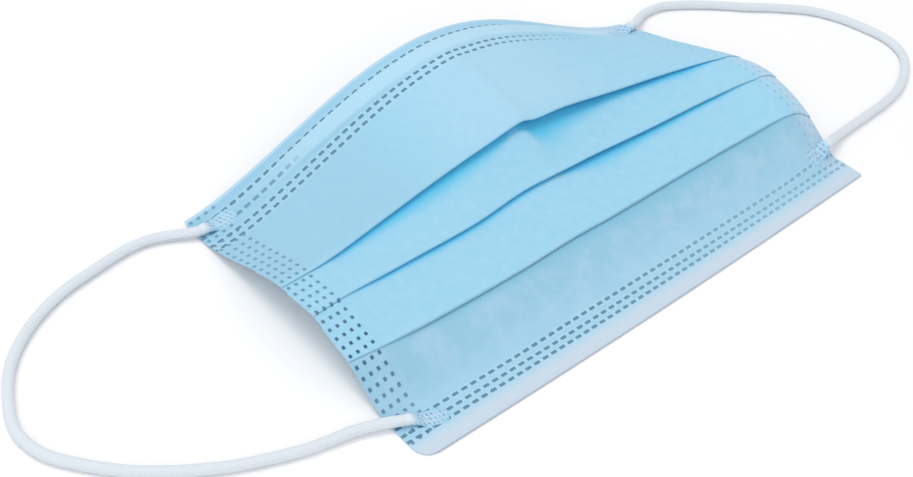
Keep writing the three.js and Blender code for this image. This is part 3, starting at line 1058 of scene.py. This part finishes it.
@dataclass(frozen=True)
class WeldedEnd:
    """A cord end pressed into the cloth: white where it comes in, speckled further along."""

    name: str = "loop_patch"
    white: Rgb = (222, 232, 241)
    lilac: Rgb = (204, 217, 238)
    blue: Rgb = (168, 212, 237)
    tick: Rgb = (104, 158, 184)
    pitch: float = 1.15
    slant: float = 0.3
    row_pitch: float = 1.3
    row_phase: float = 10.0
    spot_grain: Grain = Grain(0.9, 2.0, 0.6)
    cloth_part: Fade = Fade(0.8, 3.4)
    rim_side: Fade = Fade(0.9, 2.0)
    rim_tip: Fade = Fade(3.0, 0.6)
    lilac_part: Fade = Fade(0.4, 0.65)
    tick_part: Fade = Fade(0.35, 0.6)
    tick_line: Fade = Fade(0.4, 0.22)
    tick_row: Fade = Fade(0.55, 0.35)
    tick_share: float = 0.75
    spot_height: float = 0.8
    tick_height: float = 0.6
    relief_depth: float = 0.15

    def make(self) -> Material:
        """Builds the material, with fine pressed ticks that come and go along the patch."""
        sheet = NodeSheet(self.name)
        along, side, rest = sheet.attribute("thread")
        fade = self.cloth_part.of(along)
        rim = self.rim_side.of(abs(side)).top(self.rim_tip.of(rest)) * fade
        spots = sheet.noise(sheet.combine(along, side), self.spot_grain)
        line = (along + side * self.slant).off_middle(self.pitch)
        row = (side + self.row_phase).off_middle(self.row_pitch)
        ticks = self.tick_line.of(line) * self.tick_row.of(row) * fade * self.tick_part.of(spots)
        cloth = sheet.mix(self.lilac_part.of(spots), self.blue, self.lilac)
        base = sheet.mix(fade, self.white, cloth)
        base = sheet.mix(rim, base, self.blue)
        base = sheet.mix(ticks * self.tick_share, base, self.tick)
        sheet.paint(base)
        sheet.relief(spots * self.spot_height - ticks * self.tick_height, self.relief_depth)
        sheet.constant(Roughness=0.8, Sheen_Weight=0.15, Sheen_Roughness=0.4)
        return sheet.material


@dataclass(frozen=True)
class StripPlastic:
    """The white coating of the nose wire."""

    name: str = "nose_strip"
    white: Rgb = (240, 241, 240)
    shade: Rgb = (225, 228, 230)
    stretch: Triple = (60.0, 900.0, 900.0)
    relief_depth: float = 0.03

    def make(self) -> Material:
        """Builds the material, with a faint drawn grain along the strip."""
        sheet = NodeSheet(self.name)
        place = sheet.node("ShaderNodeTexCoord", {}, {}, "Object")
        stretched = sheet.node("ShaderNodeMapping", {}, {"Vector": place, "Scale": self.stretch})
        grain = sheet.noise(stretched, Grain(1.0))
        base = sheet.mix(grain, self.white, self.shade)
        sheet.paint(base)
        sheet.relief(grain, self.relief_depth)
        sheet.constant(Roughness=0.45)
        return sheet.material


@dataclass(frozen=True)
class FloorWhite:
    """The plain pale floor."""

    name: str = "floor_white"
    white: Rgb = (252, 252, 253)

    def make(self) -> Material:
        """Builds the material."""
        sheet = NodeSheet(self.name)
        sheet.paint(self.white)
        sheet.constant(Roughness=0.9)
        return sheet.material


# Sub-assemblies


def ends_finer(fine: float, coarse: float, zone: float, length: float) -> Array:
    """Spreads shares along the mask, finer in a zone at each end, with an even number of steps.

    Args:
        fine: The step in the end zones.
        coarse: The step between them.
        zone: The length of each end zone.
        length: The whole length.

    Returns:
        Rising shares from 0 to 1.
    """
    edge = np.linspace(0.0, zone, int(round(zone / fine)) + 1)
    steps = int(round((length - 2 * zone) / coarse / 2)) * 2
    middle = np.linspace(zone, length - zone, steps + 1)
    return np.concatenate((edge[:-1], middle, (length - edge[::-1])[1:])) / length


@dataclass
class MaskBody:
    """The pleated body: the blue outer ply and the white inner ply."""

    form: ClothForm
    inner_bottom: float = -0.24
    ply_gap: float = 0.02
    nose_rim: float = 0.9
    hem_margin: float = 4.4
    hem_taper: float = 0.6
    taper_reach: float = 3.0
    bare_step: float = 0.6
    outer_steps: Triple = (0.5, 0.7, 13.0)
    inner_steps: Triple = (1.0, 1.2, 12.0)
    inner_rows: Rows = Rows(nose_band=20, upper=26, second=18, third=22, lower=16, hem_band=24)
    flat_length: float = 155.0

    def lay(self, cloth: Cloth) -> tuple[Array, Array, dict[str, Array]]:
        """Returns the cloth's middle, its normals shortened where it is thin, and its places."""
        middle = cloth.middle()
        thin = self.form.thinning(cloth.at)[None, :, None]
        return middle, cloth.normals(middle) * thin, cloth.places(middle)

    def outer_ply(self, finish: Material) -> Object:
        """Builds the blue ply, which thins out towards its edge above the hem."""
        at = ends_finer(*self.outer_steps, self.form.length)
        cloth = Cloth(self.form, Rows(), at, self.nose_rim, self.hem_margin)
        middle, normals, places = self.lay(cloth)
        inward = places["marks"][..., 2:] - self.hem_margin
        taper = lerp(self.hem_taper, 1.0, smoothstep(0.0, self.taper_reach, inward))
        shell = Shell()
        front = middle + normals * self.form.outer_top * taper
        shell.add_sheet(front, middle + normals * self.ply_gap, places)
        return shell.build("outer_ply", finish)

    def inner_ply(self, finish: Material) -> Object:
        """Builds the white ply, which rises to the outer face where the blue one leaves it bare."""
        at = ends_finer(*self.inner_steps, self.form.length)
        middle, normals, places = self.lay(Cloth(self.form, self.inner_rows, at))
        from_nose, from_hem = places["marks"][..., 1], places["marks"][..., 2]
        at_nose = smoothstep(self.nose_rim - self.bare_step, self.nose_rim, from_nose)
        at_hem = smoothstep(self.hem_margin, self.hem_margin + self.bare_step, from_hem)
        bare = 1.0 - np.minimum(at_nose, at_hem)
        top = lerp(-self.ply_gap, self.form.outer_top * self.hem_taper, bare)
        shell = Shell()
        front = middle + normals * top[..., None]
        shell.add_sheet(front, middle + normals * self.inner_bottom, places)
        return shell.build("inner_ply", finish)


LEFT_ROUTE = (
    (-83.5, 39.1, 3.95), (-85.6, 39.5, 3.8), (-88.6, 41.2, 2.9), (-92.6, 43.3, 1.75),
    (-97.0, 44.3, 1.42), (-103.1, 44.2, 1.42), (-110.4, 43.1, 1.42), (-122.4, 40.7, 1.42),
    (-133.6, 35.9, 1.42), (-143.1, 28.8, 1.42), (-149.3, 20.4, 1.42), (-152.9, 12.0, 1.42),
    (-152.6, 4.6, 1.42), (-149.6, -1.4, 1.42), (-141.6, -10.7, 1.42), (-134.9, -16.2, 1.42),
    (-127.7, -20.9, 1.42), (-119.9, -25.0, 1.42), (-107.3, -29.7, 1.42), (-100.7, -31.2, 1.42),
    (-94.0, -32.7, 1.9), (-89.6, -34.4, 3.1), (-86.4, -36.0, 3.85), (-83.9, -37.0, 3.8),
)
RIGHT_ROUTE = (
    (79.1, 36.6, 5.4), (81.4, 37.0, 5.0), (84.4, 38.2, 3.7), (88.4, 40.2, 2.0),
    (92.7, 41.4, 1.42), (99.4, 41.1, 1.42), (105.8, 38.5, 1.42), (115.6, 32.5, 1.42),
    (124.5, 25.7, 1.42), (133.9, 19.2, 1.42), (142.5, 12.0, 1.42), (147.6, 4.2, 1.42),
    (150.7, -4.9, 1.42), (151.7, -12.8, 1.42), (149.4, -19.6, 1.42), (143.8, -24.8, 1.42),
    (132.7, -29.9, 1.42), (121.5, -31.9, 1.42), (112.0, -32.4, 1.42), (103.3, -32.8, 1.42),
    (95.4, -33.4, 1.8), (90.2, -34.4, 2.9), (87.3, -35.1, 3.6), (85.3, -35.4, 3.8),
)


@dataclass
class EarLoop:
    """A round elastic cord from the upper corner of one side to the lower one."""

    node: str
    route: tuple[Triple, ...]
    diameter: float = 2.7
    pull_length: float = 14.0
    steps: int = 520
    sides: int = 28

    def centreline(self, mouths: tuple[Array, Array]) -> Array:
        """Follows the route on one smooth curve, drawn at both ends to the loop ends' mouths.

        The pull fades out along a smooth step over a short length.
        """
        points = np.array(self.route)
        knots = walked(points)
        places = np.linspace(0.0, knots[-1], self.steps + 1)
        line = smooth_curve(knots, points, places)
        for mouth, end, gone in zip(mouths, (0, -1), (places, knots[-1] - places)):
            pull = 1.0 - smoothstep(0.0, self.pull_length, gone)
            line = line + pull[:, None] * (mouth - line[end])
        return line

    def build(
        self, mouths: tuple[Array, Array], finish: Material
    ) -> tuple[Object, Array]:
        """Carries a circle along the route.

        A point of the tube is the route's point plus the radius times cos φ of the level
        sideways vector and sin φ of the vector across both.

        Args:
            mouths: Where the cord starts and ends.
            finish: The elastic's material.

        Returns:
            The cord and its centreline in millimetres.
        """
        line = self.centreline(mouths)
        forward = unit(np.gradient(line, axis=0))
        level = unit(np.cross(np.array((0.0, 0.0, 1.0)), forward))
        across = np.cross(forward, level)
        angle = circle(self.sides)
        ring = level[:, None] * np.cos(angle)[:, None] + across[:, None] * np.sin(angle)[:, None]
        radius = self.diameter / 2
        along = walked(line)[:, None]
        thread = np.stack(np.broadcast_arrays(along, angle * radius, 0.0), axis=-1)
        shell = Shell()
        shell.add_tube(line[:, None] + ring * radius, thread=thread)
        return shell.build(self.node.replace("ear_loop", "loop_cord"), finish), line


@dataclass
class LoopEnd:
    """A cord end, flattened and welded on the outer face near a corner."""

    node: str
    x: float
    y: float
    heading: float
    panel: Panel
    cord: float = 2.7
    length: float = 11.0
    width: float = 4.6
    thickness: float = 0.2
    flat_from: float = 0.06
    flat_to: float = 0.5
    overlap: float = 0.9
    sleeve: float = 1.03
    tip_from: float = 0.85
    tip_least: float = 0.02
    sink: float = 0.09
    steps: int = 48
    sides: int = 32

    def along(self) -> Array:
        """Returns the end's direction in plan."""
        turn = math.radians(self.heading)
        return np.array((math.cos(turn), math.sin(turn)))

    def ground(self, form: ClothForm, x: Array, y: Array) -> Array:
        """Returns the height of the cloth's outer face under the end."""
        at = form.share(x, y)
        return form.panel_z(self.panel, at, y) + form.outer_top * form.thinning(at)

    def mouth(self, form: ClothForm) -> Array:
        """Returns where the cord comes in, with the cord resting on the cloth below its width."""
        reach = np.array((-0.5, 0.0, 0.5)) * self.cord
        along = self.along()
        ground = self.ground(form, self.x - reach * along[1], self.y + reach * along[0])
        x, y = np.array((self.x, self.y)) + self.overlap * along
        return np.array((x, y, ground.max() + self.cord / 2))

    def build(self, form: ClothForm, finish: Material) -> Object:
        """Carries a section along the end that goes from the cord's circle to a flat patch.

        The section is an ellipse whose half width and half height go from the cord's radius to
        the patch's along a smooth step. The width ends in a tip along a quarter circle, and
        the patch sinks a little into the cloth.
        """
        share = np.linspace(0.0, 1.0, self.steps + 1)
        flat = smoothstep(self.flat_from, self.flat_to, share)
        past = np.clip((share - self.tip_from) / (1.0 - self.tip_from), 0.0, 1.0)
        tip = np.maximum(np.sqrt(1.0 - past**2), self.tip_least)
        radius = self.cord / 2 * self.sleeve
        half_width = lerp(radius, self.width / 2, flat) * tip
        half_height = lerp(radius, self.thickness / 2, flat)
        along = self.along()
        across = np.array((-along[1], along[0]))
        centre = np.array((self.x, self.y)) + share[:, None] * self.length * along
        angle = circle(self.sides)
        side = half_width[:, None] * np.cos(angle)
        plan = centre[:, None] + side[..., None] * across
        ground = self.ground(form, plan[..., 0], plan[..., 1])
        seat = lerp(ground.max(axis=1, keepdims=True), ground, flat[:, None])
        z = seat + half_height[:, None] * (1.0 + np.sin(angle)) - self.sink * flat[:, None]
        points = np.concatenate((plan, z[..., None]), axis=-1)
        gone = self.length * share[:, None]
        thread = np.stack(np.broadcast_arrays(gone, side, self.length - gone), axis=-1)
        shell = Shell()
        shell.add_tube(points, thread=thread)
        return shell.build(self.node.replace("loop_tab", "loop_end"), finish)


@dataclass
class NoseWire:
    """The flat coated wire between the plies."""

    form: ClothForm
    width: float = 3.6
    thickness: float = 0.3
    depth: float = 0.6
    steps: int = 120
    sides: int = 16

    def build(self, finish: Material) -> Object:
        """Carries a flat oval along the channel, a little below the middle of the cloth."""
        form = self.form
        half = form.wire_length / form.length / 2
        at = np.linspace(0.5 - half, 0.5 + half, self.steps + 1)[:, None]
        angle = circle(self.sides)
        middle = form.nose_y(at) - (form.channel_from + form.channel_to) / 2
        y = middle + self.width / 2 * np.cos(angle)[None, :]
        z = form.upper_z(at, y) - self.depth + self.thickness / 2 * np.sin(angle)[None, :]
        x = lerp(form.left_x(y), form.right_x(y), at)
        shell = Shell()
        shell.add_tube(np.stack((x, y, z), axis=-1))
        return shell.build("wire_strip", finish)


# Studio


@dataclass(frozen=True)
class Studio:
    """The camera at the photograph's angle, a pale floor and soft lights."""

    lens: float = 61.31
    camera_place: Triple = (-265.0, -184.5, 267.1)
    azimuth: float = -51.71
    elevation: float = 41.71
    roll: float = 11.41
    near_metres: float = 0.01
    far_metres: float = 100.0
    floor_size: float = 6000.0
    sky: float = 0.72

    def camera(self) -> None:
        """Places the camera by its turn round the mask, its height and its roll."""
        a, e, roll = (math.radians(v) for v in (self.azimuth, self.elevation, self.roll))
        back = Vector((math.sin(a) * math.cos(e), -math.cos(a) * math.cos(e), math.sin(e)))
        side = Vector((math.cos(a), math.sin(a), 0.0))
        rise = back.cross(side)
        right = side * math.cos(roll) + rise * math.sin(roll)
        up = rise * math.cos(roll) - side * math.sin(roll)
        data = bpy.data.cameras.new("camera")
        data.lens = self.lens
        data.clip_start = self.near_metres
        data.clip_end = self.far_metres
        camera = bpy.data.objects.new("camera", data)
        turn = Matrix((right, up, back)).transposed().to_4x4()
        camera.matrix_world = Matrix.Translation(Vector(self.camera_place) * MM) @ turn
        bpy.context.scene.collection.objects.link(camera)
        bpy.context.scene.camera = camera

    def floor(self) -> None:
        """Lays the floor."""
        half = self.floor_size / 2 * MM
        mesh = bpy.data.meshes.new("floor")
        corners = [(-half, -half, 0.0), (half, -half, 0.0), (half, half, 0.0), (-half, half, 0.0)]
        mesh.from_pydata(corners, [], [(0, 1, 2, 3)])
        floor = bpy.data.objects.new("floor", mesh)
        bpy.context.scene.collection.objects.link(floor)
        mesh.materials.append(FloorWhite().make())

    @staticmethod
    def lamp(name: str, place: Triple, size: float, power: float) -> None:
        """Hangs a square soft light that faces the mask, with its power in watts."""
        data = bpy.data.lights.new(name, "AREA")
        data.shape = "SQUARE"
        data.size = size * MM
        data.energy = power
        lamp = bpy.data.objects.new(name, data)
        spot = Vector(place) * MM
        turn = spot.to_track_quat("Z", "Y").to_matrix().to_4x4()
        lamp.matrix_world = Matrix.Translation(spot) @ turn
        bpy.context.scene.collection.objects.link(lamp)

    def lights(self) -> None:
        """Sets the even sky and the soft lights."""
        world = bpy.data.worlds.new("studio")
        world.use_nodes = True
        ground = world.node_tree.nodes["Background"]
        ground.inputs["Color"].default_value = (1.0, 1.0, 1.0, 1.0)
        ground.inputs["Strength"].default_value = self.sky
        bpy.context.scene.world = world
        bpy.context.scene.view_settings.view_transform = "Standard"
        self.lamp("key", place=(-200.0, 320.0, 1200.0), size=700.0, power=4.6)
        self.lamp("fill", place=(-900.0, -700.0, 900.0), size=900.0, power=3.2)


def report(piece: Object, nodes: Sequence[str]) -> None:
    """Ties a piece to the frame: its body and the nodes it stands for."""
    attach(piece, BODY)
    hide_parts(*nodes)
    LOG.info("%s: %d faces, stands for %s", piece.name, len(piece.data.polygons), ", ".join(nodes))


def metres(points: Array) -> list[list[float]]:
    """Turns points in millimetres into plain lists in metres."""
    return (points * MM).tolist()


def main() -> None:
    """Builds the camera, the cords and the mask, in that order."""
    logging.basicConfig(level=logging.INFO, format="%(message)s")
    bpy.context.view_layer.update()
    studio = Studio()
    studio.camera()
    form = ClothForm()
    elastic = Elastic().make()
    welded = WeldedEnd().make()
    loops = [EarLoop("ear_loop_left", LEFT_ROUTE), EarLoop("ear_loop_right", RIGHT_ROUTE)]
    ends = [
        LoopEnd("loop_tab_left_upper", x=-83.2, y=39.1, heading=2.0, panel=Panel.UPPER),
        LoopEnd("loop_tab_left_lower", x=-83.6, y=-37.1, heading=-20.0, panel=Panel.LOWER),
        LoopEnd("loop_tab_right_upper", x=78.8, y=36.2, heading=184.0, panel=Panel.UPPER),
        LoopEnd("loop_tab_right_lower", x=85.0, y=-35.4, heading=184.0, panel=Panel.LOWER),
    ]
    patches = {}
    for end in ends:
        patches[end.node] = end.build(form, welded)
        report(patches[end.node], [end.node])
    for loop, (first, last) in zip(loops, (ends[:2], ends[2:])):
        cord, line = loop.build((first.mouth(form), last.mouth(form)), elastic)
        report(cord, [loop.node])
        length = float(walked(line)[-1])
        metres(line)[0]
        metres(line)
        LOG.info("%s: %.0f mm long", cord.name, length)
    body = MaskBody(form)
    blue = body.outer_ply(OuterCloth().make())
    white = body.inner_ply(InnerCloth().make())
    report(blue, ["pleated_panel"])
    report(white, ["lower_hem", "upper_hem"])
    wire = NoseWire(form).build(StripPlastic().make())
    report(wire, ["nose_wire"])
    studio.floor()
    studio.lights()


if __name__ == "__main__":
    main()
